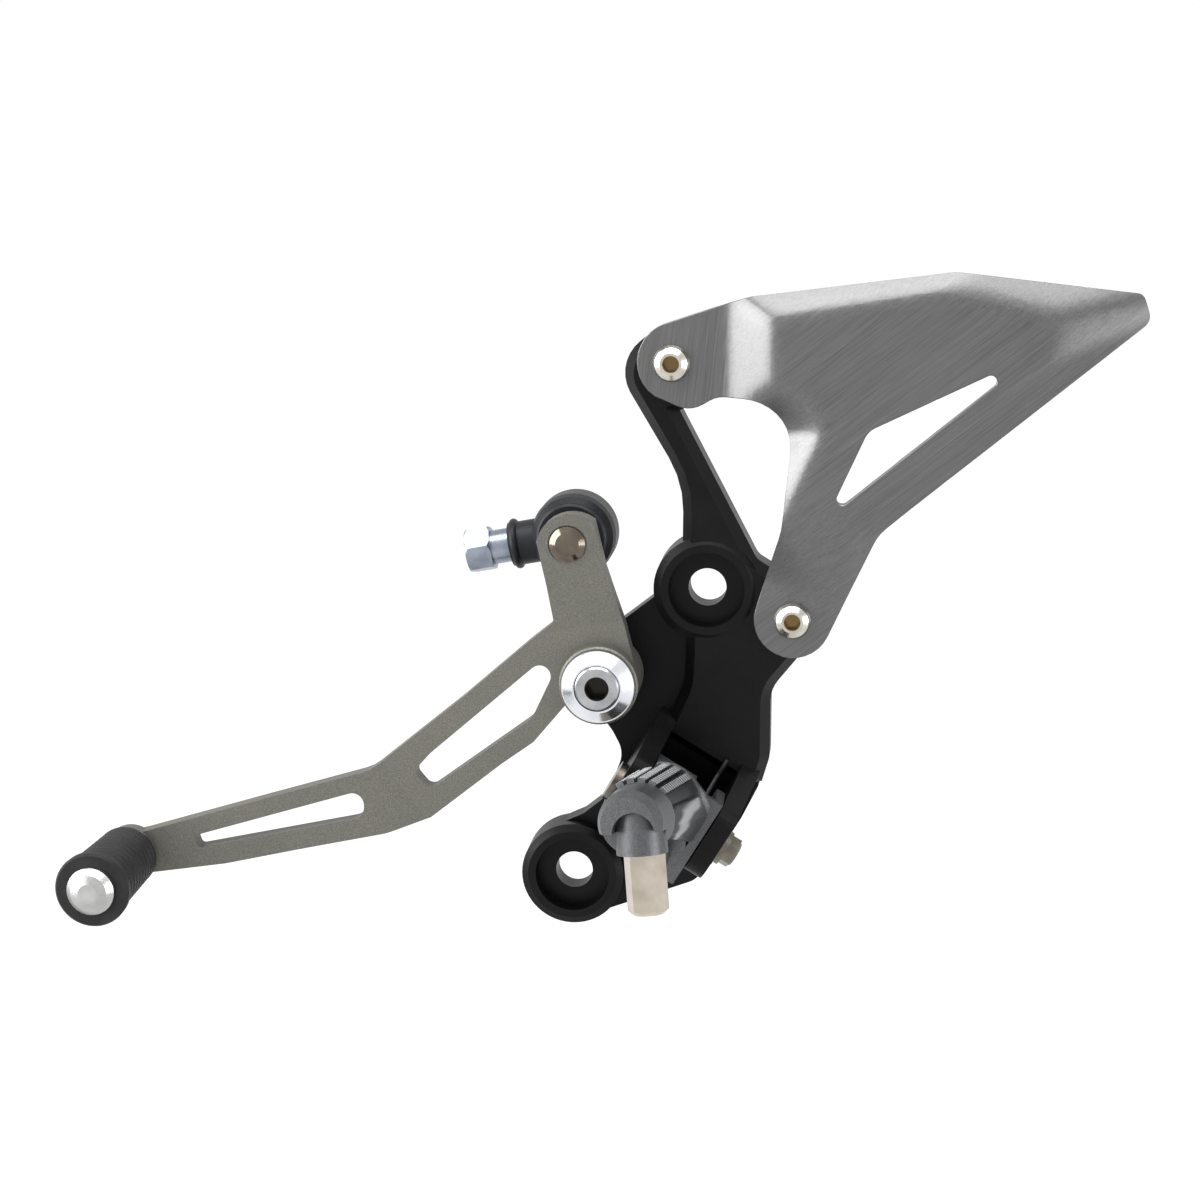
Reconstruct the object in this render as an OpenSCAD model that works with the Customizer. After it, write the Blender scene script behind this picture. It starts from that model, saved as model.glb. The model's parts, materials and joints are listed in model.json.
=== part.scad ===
// Footrest bracket of a motorcycle, left side.
// It carries a bent heel guard, a shift lever with a ball joint,
// and a folding foot peg. Sizes are in millimetres.
// The frame lies behind the bracket, at y = 0. The rider is in front, at -y.
// Plans are drawn as [x, z]. Depth is the distance from the frame face
// towards the rider.

/* [Bracket] */
// Depth of the arm and of the body
arm_depth = 14; // [13:0.5:15]
// Depth of the thin web that carries the pivot and the lower boss
web_depth = 8; // [7:0.5:8]
// Width of the slanted edge of the body
bevel_w = 2.8; // [1.5:0.1:3]
// Depth of the slanted edge of the body
bevel_d = 4; // [2:0.5:5]
// Diameter of the bores for the two frame bolts
frame_bore_d = 11; // [9:0.5:12]
// Diameter of the recess around the upper frame bore
upper_recess_d = 22; // [20:0.5:23]
// Depth at the floor of the upper recess
upper_floor = 9.5; // [7:0.5:11]
// Depth at the rim of the upper boss
upper_rim = 14.5; // [14:0.5:16]
// Diameter of the recess around the lower frame bore
lower_recess_d = 22; // [20:0.2:23]
// Depth at the floor of the lower recess
lower_floor = 8; // [6:0.5:9]
// Depth at the rim of the lower boss
lower_rim = 13.5; // [12:0.5:14.5]

/* [Heel guard] */
// Thickness of the sheet
guard_t = 2.5; // [2:0.1:3]
// Height of the panel over its two screw tabs
guard_rise = 8.5; // [7.5:0.1:9]
// Thread diameter of the guard screws
guard_screw_d = 6; // [5:0.5:6]
// Diameter of the heads of the guard screws
guard_head_d = 10.5; // [9.5:0.5:12]
// Height of the heads of the guard screws
guard_head_h = 3.3; // [3:0.1:3.8]

/* [Shift lever] */
// Thickness of the lever plate
lever_t = 6; // [5:0.5:7]
// Space between the arm of the bracket and the lever
lever_space = 3; // [2.5:0.5:4]
// Diameter of the hub
hub_d = 22.8; // [22:0.2:25]
// Height of the hub over the front of the plate
hub_proud = 5; // [4:0.5:7]
// Bend of the upper arm towards the rider, in degrees
upper_bend = 5; // [3:0.5:6]
// Bend of the lower arm towards the rider, in degrees
lower_bend = 6; // [4:0.5:8]

/* [Lever pivot] */
// Diameter of the sleeve that the lever turns on
sleeve_d = 12; // [11:0.5:12.5]
// Wall of the two bushes in the hub
bush_wall = 0.95; // [0.8:0.05:1.2]
// Thread diameter of the pivot bolt
pivot_bolt_d = 8; // [7:0.5:8]
// Diameter of the head of the pivot bolt
pivot_head_d = 13; // [12:0.5:13]
// Height of the head of the pivot bolt
pivot_head_h = 8; // [7:0.5:9]
// Diameter of the flange of the cap
cap_d = 21; // [20:0.5:22]

/* [Shift peg] */
// Diameter of the rod
rod_d = 10; // [9:0.5:11]
// Length of the rubber
rubber_l = 33; // [28:1:40]
// Diameter over the ribs of the rubber
rubber_d = 19.4; // [18:0.1:20.5]
// Number of ribs
ribs = 9; // [6:1:10]

/* [Rod end] */
// Diameter of the ball
ball_d = 12; // [11:0.5:12]
// Wall of the plastic half races
race_wall = 1.45; // [1.2:0.05:1.5]
// Thread diameter at the hexagon end
rod_thread_d = 5; // [4:0.5:6]
// Depth of the thread at the hexagon end
rod_thread_l = 14; // [10:1:16]
// Width across the flats of the hexagon end
rod_hex = 12; // [11:0.5:14]
// Wall of the rubber boot
boot_wall = 1.4; // [1:0.1:1.5]

/* [Foot peg] */
// Diameter of the hinge pin
pin_d = 8; // [7:0.5:9]
// Thickness of the ears of the hinge
ear_t = 5.6; // [5:0.2:6]
// Distance between the ears
ear_space = 23; // [22:0.5:24]
// Number of teeth in a row of the tread
teeth = 15; // [8:1:18]
// Height of the teeth
tooth_h = 1.6; // [1:0.1:2]
// Width across the flats of the feeler bolt
feeler_hex = 10; // [8:0.5:12]
// Length of the feeler bolt below its boss
feeler_l = 16.5; // [12:0.5:24]
// Wire diameter of the return spring
wire_d = 1.6; // [1.2:0.1:1.7]

/* [Fits] */
// Clearance of a pin that turns in its bore, on the radius
run_gap = 0.05; // [0.03:0.01:0.08]
// Clearance of a pressed or screwed piece, on the radius
fit_gap = 0.02; // [0.01:0.01:0.03]
// Clearance of a screw through a plain hole, on the radius
hole_gap = 0.25; // [0.2:0.05:0.4]
// Space between pieces that move past each other
move_gap = 0.4; // [0.3:0.05:0.5]

/* [Hidden] */

$fn = 64;
arc_step = 12;
eps = 0.01;
far = 400;

// Colours
black_paint = [0.05, 0.05, 0.055];
sheet_grey = [0.62, 0.62, 0.63];
lever_grey = [0.52, 0.51, 0.48];
screw_grey = [0.7, 0.7, 0.68];
zinc = [0.72, 0.75, 0.8];
bright_metal = [0.8, 0.8, 0.8];
cast_grey = [0.55, 0.56, 0.57];
rubber_black = [0.03, 0.03, 0.03];
race_white = [0.85, 0.85, 0.8];
bronze = [0.6, 0.45, 0.25];

// Places in the plan
upper_boss = [0, 0];
lower_boss = [-39.2, -87];
nose = [-12.6, 62];
screw_up = [-10.3, 65.3];
screw_low = [24.9, -8];
pivot = [-29.9, -26];
shift_peg = [-168.9, -79.7];
ball = [-39, 14.4];

// Depths
thread_gap = 0.05;
tab_front = arm_depth + guard_t;
panel_front = tab_front + guard_rise;
pad_front = web_depth + 0.5;
lever_back = arm_depth + lever_space;
lever_front = lever_back + lever_t;
hub_back = pad_front + 0.5;
hub_front = lever_front + hub_proud;

// Plan helpers
function unit(v) = v / norm(v);
function turn(a, b) = let (d = b - a)
    d > 180 ? d - 360 : d < -180 ? d + 360 : d;
function arc(c, r, a0, a1) = let (n = max(2, ceil(abs(a1 - a0) / arc_step)))
    [for (i = [0:n]) let (a = a0 + (a1 - a0) * i / n)
        [c[0] + r * cos(a), c[1] + r * sin(a), 0]];
function flat(p) = [p[0], p[1]];
function corner(p0, p1, p2, r) = r <= 0 ? [p1] :
    let (a = unit(p0 - p1), b = unit(p2 - p1),
        half = acos(max(-1, min(1, a * b))) / 2,
        c = p1 + unit(a + b) * r / sin(half),
        s = p1 + a * r / tan(half) - c,
        e = p1 + b * r / tan(half) - c,
        a0 = atan2(s[1], s[0]),
        da = turn(a0, atan2(e[1], e[0])),
        n = max(2, ceil(abs(da) / arc_step)))
    [for (i = [0:n]) c + r * [cos(a0 + da * i / n), sin(a0 + da * i / n)]];
function rounded(pts) = let (n = len(pts))
    [for (i = [0:n - 1]) each corner(flat(pts[(i + n - 1) % n]), flat(pts[i]),
        flat(pts[(i + 1) % n]), len(pts[i]) > 2 ? pts[i][2] : 0)];
function inset(pts, d) = let (n = len(pts))
    [for (i = [0:n - 1]) let (p = pts[(i + n - 1) % n], q = pts[i],
        s = pts[(i + 1) % n],
        n1 = unit([p[1] - q[1], q[0] - p[0]]),
        n2 = unit([q[1] - s[1], s[0] - q[0]]),
        m = unit(n1 + n2))
        q + m * d / max(0.5, m * n1)];

// Cuts an outline into triangles, one corner after the other
function side(a, b, c) = (b[0] - a[0]) * (c[1] - a[1])
    - (b[1] - a[1]) * (c[0] - a[0]);
function within(p, a, b, c) =
    side(a, b, p) >= 0 && side(b, c, p) >= 0 && side(c, a, p) >= 0;
function is_free(pts, ids, i) = let (n = len(ids), a = ids[(i + n - 1) % n],
        b = ids[i], c = ids[(i + 1) % n])
    side(pts[a], pts[b], pts[c]) > 0 && len([for (j = ids)
        if (j != a && j != b && j != c
            && within(pts[j], pts[a], pts[b], pts[c])) j]) == 0;
function free_corner(pts, ids, i = 0) = i >= len(ids) - 1
    || is_free(pts, ids, i) ? i : free_corner(pts, ids, i + 1);
function triangles(pts, ids) = let (n = len(ids))
    n <= 3 ? [ids] : let (i = free_corner(pts, ids))
    concat([[ids[(i + n - 1) % n], ids[i], ids[(i + 1) % n]]],
        triangles(pts, [for (k = [0:n - 1]) if (k != i) ids[k]]));

// A plate with a slanted front edge
module bevelled(pts, d0, d1, w, h) {
    rings = [pts, pts, inset(pts, w)];
    depths = [d0, d1 - h, d1];
    n = len(pts);
    ids = [for (i = [0:n - 1]) i];
    polyhedron(
        points = [for (k = [0:2]) for (p = rings[k]) [p[0], p[1], depths[k]]],
        faces = concat(
            triangles(pts, ids),
            [for (k = [0:1]) for (i = ids) let (j = (i + 1) % n)
                [k * n + i, (k + 1) * n + i, (k + 1) * n + j, k * n + j]],
            [for (t = triangles(rings[2], ids)) [t[2], t[1], t[0]]
                + [2 * n, 2 * n, 2 * n]]));
}

module plan() rotate([90, 0, 0]) children();
module at(p, depth = 0) plan() translate([p[0], p[1], depth]) children();

// Rings and discs along the depth
module disc(p, d0, d1, r, r2 = -1)
    translate([p[0], p[1], d0])
        cylinder(h = d1 - d0, r1 = r, r2 = r2 < 0 ? r : r2);
module tube(d0, d1, r_in, r_out) difference() {
    translate([0, 0, d0]) cylinder(h = d1 - d0, r = r_out);
    translate([0, 0, d0 - 1]) cylinder(h = d1 - d0 + 2, r = r_in);
}

// Everything on one side of a plane through p, on the side that n points to
module side_of(p, n)
    translate(p)
        rotate([0, acos(n[2] / norm(n)), atan2(n[1], n[0])])
            translate([-far, -far, 0]) cube([2 * far, 2 * far, 2 * far]);

// Hinge of the foot peg: u runs along the pin, v across it
hinge_angle = 31;
pin_v = -59;
pin_depth = arm_depth + 14;
ear_left = 7.4;
ear_right = ear_left + ear_t + ear_space;
ear_end = ear_right + ear_t;
module hinge() plan() rotate([0, 0, -hinge_angle]) children();
// In this frame x is v, y is the depth and z is u
module across() hinge() rotate([90, 0, 90]) children();
module on_pin() across() translate([pin_v, pin_depth, 0]) children();
function from_hinge(u, v) = [u * cos(hinge_angle) + v * sin(hinge_angle),
    v * cos(hinge_angle) - u * sin(hinge_angle), 0];

// Bracket
body_foot_v = -44;
lug_r = 8.8;
upper_boss_r = 15.4;
lower_boss_r = 15.2;
body_plan = rounded(concat(
    arc(nose, 11.5, -68, 208.9),
    [[-7.1, 30.4, 30], [-7.3, 9, 0], [-5.8, -12, 0], [-6.4, -28, 12],
        [-11, -38.5, 6]],
    [from_hinge(ear_left + 1, body_foot_v),
        from_hinge(ear_end - 1, body_foot_v)],
    [[16.5, -57.5, 0], [18.7, -50, 8], [18.7, -29.8, 10]],
    arc(screw_low, lug_r, -38.5, 58),
    [[14.3, 8.6, 5]]));
web_plan = rounded(concat(
    [[-14.56, -2.64, 0]],
    arc(pivot, 9, 129.4, 216.9),
    [[-27.8, -44, 8], [-24.4, -50.5, 8], [-29.6, -64, 8], [-36.5, -69.6, 4]],
    arc(lower_boss, lower_boss_r - 0.5, 112, 292),
    [[-3.5, -89.3, 6], from_hinge(44.8, -71), from_hinge(44.8, -54),
        [15.3, -59.8, 0], [17.4, -52.6, 0], [12, -46, 0], [3, -40, 0],
        [0, -8, 0]]));
rim_slope = 1.2;
rim_w = 2.2;

module boss(p, r, rim, recess_d) {
    disc(p, 0, rim - rim_slope, r);
    disc(p, rim - rim_slope, rim, r, recess_d / 2 + rim_w);
}

function ear_side(g) = rounded([[pin_v + 21 + g, 4], [pin_v - 7 - g, 4],
    [pin_v - 10.5 - g, 10, 3], [pin_v - 10.5 - g, pin_depth + 8.5 + g, 6],
    [pin_v + 10 + g, pin_depth + 8.5 + g, 6], [pin_v + 21 + g, arm_depth - 1]]);
module ear(u) across() translate([0, 0, u]) linear_extrude(ear_t)
    polygon(ear_side(0));

module bracket() color(black_paint) difference() {
    union() {
        plan() {
            bevelled(body_plan, 0, arm_depth, bevel_w, bevel_d);
            linear_extrude(web_depth) polygon(web_plan);
            boss(upper_boss, upper_boss_r, upper_rim, upper_recess_d);
            boss(lower_boss, lower_boss_r, lower_rim, lower_recess_d);
            disc(pivot, 0, pad_front, 9);
        }
        ear(ear_left);
        ear(ear_right);
    }
    plan() {
        disc(upper_boss, -1, far, frame_bore_d / 2);
        disc(upper_boss, upper_floor, far, upper_recess_d / 2);
        disc(lower_boss, -1, far, frame_bore_d / 2);
        disc(lower_boss, lower_floor, far, lower_recess_d / 2);
        disc(pivot, -1, pad_front + 1, pivot_bolt_d / 2 + thread_gap);
        disc(screw_up, 2, far, guard_screw_d / 2 + thread_gap);
        disc(screw_low, 2, far, guard_screw_d / 2 + thread_gap);
    }
    on_pin() translate([0, 0, ear_left - 1])
        cylinder(h = ear_end - ear_left + 2, r = pin_d / 2 + fit_gap);
}

// Heel guard
guard_plan = rounded(concat(
    arc([-8.5, 65.5], 11.4, 109.4, 235),
    [[-5, 51.8, 8], [2.5, 56.2, 8], [23.7, 55.6, 14], [23.6, 40, 20],
        [21.7, 19, 20]],
    arc(screw_low, 10.9, 164.3, 335.8),
    [[48.7, 17.6, 12], [122, 78.4, 3.5], [119.6, 85.8, 2.5],
        [68.5, 91.7, 15], [12, 84.4, 15]]));
window_plan = rounded([[91.7, 70.4, 1.9], [45.2, 47.9, 6], [33.5, 21.9, 1.9]]);
roll_c = [15.9, 41.6];
roll_r = 17.6;
roll_a = 38;

// Removes what lies over a face that falls from the crease a-b, to its left
module fall(a, b, slope, top) {
    d = unit(b - a);
    side_of([a[0], a[1], top], [-d[1] * sin(slope), d[0] * sin(slope), cos(slope)]);
}

module guard_block(top, tab) union() {
    difference() {
        translate([-60, -60, tab - 40]) cube([240, 200, top - tab + 40]);
        // Rise from the upper tab
        fall([18.3, 0], [18.3, 50], 34, top);
        // Top edge and tip
        fall([18.2, 79], [61.3, 86.1], 42, top);
        fall([62.7, 87], [96.7, 79.6], 30, top);
        fall([95.1, 70.9], [96.7, 79.6], -15, top);
        // Edge below the window, as far as the leg
        intersection() {
            fall([97.1, 68.2], [40.8, 22.8], 38, top);
            side_of([0, 5, 0], [-0.318, 1, 0]);
        }
        // Rolled inner corner and the edge below it
        intersection() {
            translate([roll_c[0], roll_c[1], top - roll_r * tan(roll_a)])
                cylinder(h = far, r1 = 0, r2 = far / tan(roll_a));
            side_of([32, 46.6, 0], [-5, 16.1, 0]);
        }
        intersection() {
            fall([21.5, 21.9], [32, 46.6], roll_a, top);
            side_of([32, 46.6, 0], [5, -16.1, 0]);
        }
        // Leg that falls to the lower tab
        fall([40.7, 25.6], [21.5, 21.9], 16, top);
        side_of([17.8, 3.1, tab], [-0.148, -0.383, 0.912]);
        intersection() {
            side_of([38.3, 21.4, top - 1.1], [0.378, -0.256, 1]);
            side_of([0, 5, 0], [0.318, -1, 0]);
        }
    }
    // Upper and lower tab
    translate([-60, 20, tab - 40]) cube([66, 120, 40]);
    intersection() {
        translate([-60, -60, tab - 40]) cube([240, 100, 40]);
        side_of([17.8, 3.1, 0], [-0.36, -0.933, 0]);
    }
}

module heel_guard() color(sheet_grey) plan() difference() {
    intersection() {
        linear_extrude(far) difference() {
            polygon(guard_plan);
            polygon(window_plan);
        }
        difference() {
            guard_block(panel_front, tab_front);
            translate([0, 0, -guard_t]) guard_block(panel_front, tab_front);
        }
    }
    for (p = [screw_up, screw_low])
        disc(p, 0, far, guard_screw_d / 2 + hole_gap);
}

// A screw with a round head, seen from its seat at depth 0
module button_screw(d, l, head_d, head_h, socket) difference() {
    union() {
        translate([0, 0, -l]) cylinder(h = l, r = d / 2);
        cylinder(h = head_h * 0.3, r = head_d / 2);
        translate([0, 0, head_h * 0.3]) cylinder(h = head_h * 0.4,
            r1 = head_d / 2, r2 = head_d * 0.44);
        translate([0, 0, head_h * 0.7]) cylinder(h = head_h * 0.3,
            r1 = head_d * 0.44, r2 = head_d * 0.3);
    }
    translate([0, 0, head_h * 0.35])
        cylinder(h = head_h, r = socket / sqrt(3), $fn = 6);
}

module guard_screw(p) at(p, tab_front)
    button_screw(guard_screw_d - 0.1, 11, guard_head_d, guard_head_h, 4);
module guard_screw_upper() color(screw_grey) guard_screw(screw_up);
module guard_screw_lower() color(screw_grey) guard_screw(screw_low);

// Lever pivot
cap_back = lever_front - 1;
cup_r = pivot_head_d / 2 + 1;
seal_w = 1.6;
bush_r = sleeve_d / 2 + run_gap + bush_wall;
cap_lift = move_gap;
cap_flange = hub_front + cap_lift;
front_bore_r = cup_r + seal_w + 0.1;
rear_groove_r = sleeve_d / 2 + 2.6;
rear_groove = 2;

module pivot_sleeve() color(bright_metal) at(pivot)
    tube(pad_front, cap_back, pivot_bolt_d / 2 + 0.2, sleeve_d / 2);

module pivot_cap() color(bright_metal) at(pivot) difference() {
    union() {
        disc([0, 0], cap_back, cap_flange, cup_r);
        disc([0, 0], cap_flange, cap_flange + 0.8, cap_d / 2);
        disc([0, 0], cap_flange + 0.8, cap_flange + 3.2, cap_d / 2 - 0.3,
            pivot_head_d / 2 + 0.7);
    }
    disc([0, 0], cap_back - 1, far, pivot_bolt_d / 2 + 0.2);
    disc([0, 0], cap_back + 2, far, pivot_head_d / 2 + 0.15);
}

module pivot_bolt() color(screw_grey) at(pivot, cap_back + 2) difference() {
    union() {
        translate([0, 0, 0.5 - cap_back - 2])
            cylinder(h = cap_back + 1.5, r = pivot_bolt_d / 2);
        cylinder(h = pivot_head_h - 0.6, r = pivot_head_d / 2);
        translate([0, 0, pivot_head_h - 0.6]) cylinder(h = 0.6,
            r1 = pivot_head_d / 2, r2 = pivot_head_d / 2 - 0.6);
    }
    translate([0, 0, pivot_head_h - 4.2])
        cylinder(h = 5, r = 6 / sqrt(3), $fn = 6);
}

module pivot_seal_front() color(rubber_black) at(pivot)
    tube(cap_flange - 2, cap_flange, cup_r + fit_gap, cup_r + seal_w);

module pivot_seal_rear() color(rubber_black) at(pivot)
    tube(pad_front, hub_back + rear_groove - 0.2, sleeve_d / 2 + fit_gap,
        rear_groove_r - 0.1);

module bush(d0, d1) color(bronze) at(pivot)
    tube(d0, d1, sleeve_d / 2 + run_gap, bush_r);
bush_split = (hub_back + rear_groove + cap_back) / 2;
module pivot_bush_rear() bush(hub_back + rear_groove + 0.2, bush_split - 0.2);
module pivot_bush_front() bush(bush_split + 0.2, cap_back - 0.8);

// Shift lever
upper_a = [-41.1, -10.9];
upper_b = [-24.7, -7.9];
lower_a = [-93.2, -52.4];
lower_b = [-82.4, -67.1];
lower_dir = unit(lower_a - lower_b);
lower_out = [-lower_dir[1], lower_dir[0]];
peg_run = (shift_peg - lower_a) * lower_out;
peg_seat = lever_front + peg_run * tan(lower_bend) + 0.9;
peg_back = lever_back + peg_run * tan(lower_bend);
upper_dir = unit(upper_b - upper_a);
upper_out = [-upper_dir[1], upper_dir[0]];
stud_run = (ball - upper_a) * upper_out;
stud_back = lever_back + stud_run * tan(upper_bend) + 0.6;
stud_front = lever_front + stud_run * tan(upper_bend) - 0.5;
ball_depth = stud_back - 13.1;
lever_plan = rounded(concat(
    arc([-37.8, 13], 10.3, 52, 169),
    [[-45.1, 1.9, 0], [-43.2, -8.7, 1.5], [-50.5, -14.6, 0],
        [-70.1, -31.7, 0], [-97.3, -54, 12], [-128.6, -62.7, 0],
        [-163.9, -72.7, 0]],
    arc(shift_peg, 6.4, 75, 262),
    [[-140.2, -82.2, 0], [-117.6, -77.6, 0], [-92.6, -72.8, 20],
        [-79.8, -67.9, 4], [-58.7, -51.1, 0], [-49.3, -44.3, 0]],
    arc(pivot, hub_d / 2, 214, 390),
    [[-22.9, -9, 3], [-26.2, 0.8, 0], [-28.5, 8, 0]]));
slot_1 = rounded([[-38.1, -12.4, 3.2], [-49.7, -37.2, 6], [-80.1, -59.6, 2.5],
    [-84.8, -54.2, 2.2], [-79.6, -48.4, 6]]);
slot_2 = rounded([[-149.6, -74, 1.3], [-148.4, -77.6, 1.3], [-99, -68.1, 3.8],
    [-100, -60, 3.4]]);

// Everything in front of the bent plate's face at depth d of its middle
module in_front(d) intersection() {
    side_of([0, 0, d], [0, 0, 1]);
    side_of([upper_a[0], upper_a[1], d], [-upper_out[0] * sin(upper_bend),
        -upper_out[1] * sin(upper_bend), cos(upper_bend)]);
    side_of([lower_a[0], lower_a[1], d], [-lower_out[0] * sin(lower_bend),
        -lower_out[1] * sin(lower_bend), cos(lower_bend)]);
}

module lever_plate() difference() {
    intersection() {
        linear_extrude(far / 2) difference() {
            polygon(lever_plan);
            polygon(slot_1);
            polygon(slot_2);
        }
        in_front(lever_back);
    }
    in_front(lever_front);
}

module shift_lever() color(lever_grey) plan() difference() {
    union() {
        lever_plate();
        disc(pivot, hub_back, hub_front - 0.5, hub_d / 2);
        disc(pivot, hub_front - 0.5, hub_front, hub_d / 2, hub_d / 2 - 0.5);
        disc(shift_peg, peg_back + 1.5, peg_seat, 8);
    }
    disc(pivot, 0, far, bush_r + fit_gap);
    disc(pivot, cap_back - 0.4, far, front_bore_r);
    disc(pivot, 0, hub_back + rear_groove, rear_groove_r);
    disc(shift_peg, 0, far, rod_d / 2 + fit_gap);
    disc(ball, 0, far, 4 + fit_gap);
    disc(ball, 0, stud_back, 6.8);
    disc(ball, stud_front, far, 5.6);
}

// Shift peg
rubber_back = peg_seat + 1;
rubber_front = rubber_back + rubber_l;
rib_pitch = (rubber_l - 5.5) / ribs;
rib_h = 0.8;
cap_r = rod_d / 2 + 1.8;
function rubber_r(z) = rubber_d / 2 - 0.6 + 0.9 * z / rubber_l;

module shift_peg_rod() color(screw_grey) at(shift_peg) union() {
    disc([0, 0], peg_back, rubber_front, rod_d / 2);
    disc([0, 0], rubber_front, rubber_front + 1, cap_r);
    disc([0, 0], rubber_front + 1, rubber_front + 2.6, cap_r, cap_r - 1.6);
    disc([0, 0], rubber_front + 2.6, rubber_front + 3.6, cap_r - 1.6,
        cap_r - 4);
}

module shift_peg_washer() color(screw_grey) at(shift_peg)
    tube(peg_seat, rubber_back, rod_d / 2 + fit_gap, rubber_r(0) - 0.5);

rubber_side = concat(
    [[rod_d / 2 + fit_gap, 0], [rubber_r(0) - 0.3, 0], [rubber_r(0), 0.4],
        [rubber_r(0), 1.8]],
    [for (i = [0:ribs - 1]) let (z = 2 + i * rib_pitch, r = rubber_r(z))
        each [[r - rib_h, z + 0.5], [r - rib_h, z + 1.1], [r, z + 1.6],
            [r, z + rib_pitch - 0.3]]],
    [[rubber_d / 2 - 0.3, rubber_l - 3.4], [rubber_d / 2 + 0.9, rubber_l - 3],
        [rubber_d / 2 + 1, rubber_l - 0.8],
        [rubber_d / 2 + 0.4, rubber_l], [rod_d / 2 + fit_gap, rubber_l]]);
module shift_peg_rubber() color(rubber_black) at(shift_peg, rubber_back)
    rotate_extrude() polygon(rubber_side);

// Rod end. The stud stands at right angles to the frame face
ball_r = ball_d / 2;
race_in = ball_r + run_gap;
race_out = race_in + race_wall;
shell_in = race_out + run_gap;
shell_out = shell_in + 1.75;
shell_back = ball_depth - 7.5;
shank_angle = 190.4;
shank_r = 5;
neck_r = 3.5;
race_half_gap = 0.85;
boot_r = shell_out + 3.1;

module ball_stud() color(bright_metal) at(ball) union() {
    translate([0, 0, ball_depth]) sphere(r = ball_r);
    disc([0, 0], ball_depth + 2, stud_back - 1, neck_r);
    disc([0, 0], stud_back - 1.8, stud_back, 6.5);
    disc([0, 0], stud_back - 1, stud_front + 0.3, 4);
    disc([0, 0], stud_front, stud_front + 0.7, 5.1);
    disc([0, 0], stud_front + 0.7, stud_front + 1.6, 5.1, 3.4);
}

module race(d0, d1, open_r) color(race_white) at(ball, ball_depth)
    difference() {
        intersection() {
            sphere(r = race_out);
            translate([0, 0, d0]) cylinder(h = d1 - d0, r = 10);
        }
        sphere(r = race_in);
        translate([0, 0, -10]) cylinder(h = 20, r = open_r);
    }
module ball_race_front() race(race_half_gap, 5.4, 5);
module ball_race_rear() race(-5.4, -race_half_gap, 2.6);

module along_shank() rotate([0, 90, shank_angle]) children();

module rod_end_housing() color(zinc) at(ball, ball_depth) difference() {
    union() {
        intersection() {
            sphere(r = shell_out);
            translate([0, 0, -eps]) cylinder(h = 6.5, r = 20);
        }
        translate([0, 0, -7.5]) cylinder(h = 7.5, r = shell_out);
        along_shank() cylinder(h = 24.5, r = shank_r);
        along_shank() intersection() {
            translate([0, 0, 24.5]) rotate([0, 0, 15])
                cylinder(h = 7.5, r = rod_hex / sqrt(3), $fn = 6);
            union() {
                translate([0, 0, 24]) cylinder(h = 1.5 + eps,
                    r1 = rod_hex * 0.48, r2 = rod_hex * 0.6);
                translate([0, 0, 25.5]) cylinder(h = 5, r = rod_hex * 0.6);
                translate([0, 0, 30.5 - eps]) cylinder(h = 1.5 + 2 * eps,
                    r1 = rod_hex * 0.6, r2 = rod_hex * 0.5);
            }
        }
    }
    sphere(r = shell_in);
    translate([0, 0, -8.5]) cylinder(h = 8.5, r = shell_in);
    translate([0, 0, 0]) cylinder(h = 20, r = 5.5);
    along_shank() translate([0, 0, 32 - rod_thread_l])
        cylinder(h = rod_thread_l + 1, r = rod_thread_d / 2);
}

module rod_end_cap() color(zinc) at(ball, ball_depth)
    translate([0, 0, -7.5]) cylinder(h = 1.1, r = shell_in - fit_gap);

boot_side = [[0, -9.6], [boot_r - 2.6, -9.6], [boot_r - 0.8, -8.4],
    [boot_r, -6], [boot_r, 3], [boot_r - 0.6, 5.6], [boot_r - 2.2, 7.6],
    [boot_r - 2.2, 9.1], [boot_r - 2.8, 9.6], [6.6, 9.6], [6, 9]];
boot_cavity = [[0, -9.6 + boot_wall], [boot_r - 2.9, -9.6 + boot_wall],
    [boot_r - boot_wall, -6], [boot_r - boot_wall, 3],
    [boot_r - 3.6, 6.6], [6, 7.6]];
module rod_end_boot() color(rubber_black) at(ball, ball_depth) difference() {
    union() {
        rotate_extrude() polygon(concat(boot_side, [[0, 9]]));
        along_shank() cylinder(h = 19, r = shank_r + boot_wall);
        along_shank() translate([0, 0, 17.4])
            rotate_extrude() translate([shank_r + 1.2, 0])
                circle(r = 1.2, $fn = 24);
    }
    rotate_extrude() polygon(concat(boot_cavity, [[0, 7.6]]));
    cylinder(h = 20, r = 6);
    along_shank() cylinder(h = 30, r = shank_r + fit_gap);
}

// Foot peg hinge
pin_head_h = 2;
washer_h = 2;
module peg_hinge_pin() color(screw_grey) on_pin() difference() {
    union() {
        translate([0, 0, ear_left - pin_head_h])
            cylinder(h = pin_head_h, r = pin_d / 2 + 2);
        translate([0, 0, ear_left - eps])
            cylinder(h = ear_end - ear_left + eps, r = pin_d / 2);
    }
    translate([0, 0, ear_end - 10]) cylinder(h = 11, r = 2.05);
}

module pin_washer() color(screw_grey) on_pin()
    tube(ear_end, ear_end + washer_h, 2.3, pin_d / 2 + 1.2);

module pin_screw() color(screw_grey) on_pin() union() {
    translate([0, 0, ear_end - 9])
        cylinder(h = 9 + washer_h + eps, r = 2);
    translate([0, 0, ear_end + washer_h])
        cylinder(h = 2.9, r = 8 / sqrt(3), $fn = 6);
    translate([0, 0, ear_end + washer_h + 2.9])
        cylinder(h = 0.6, r1 = 4, r2 = 3.4);
}

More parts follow.
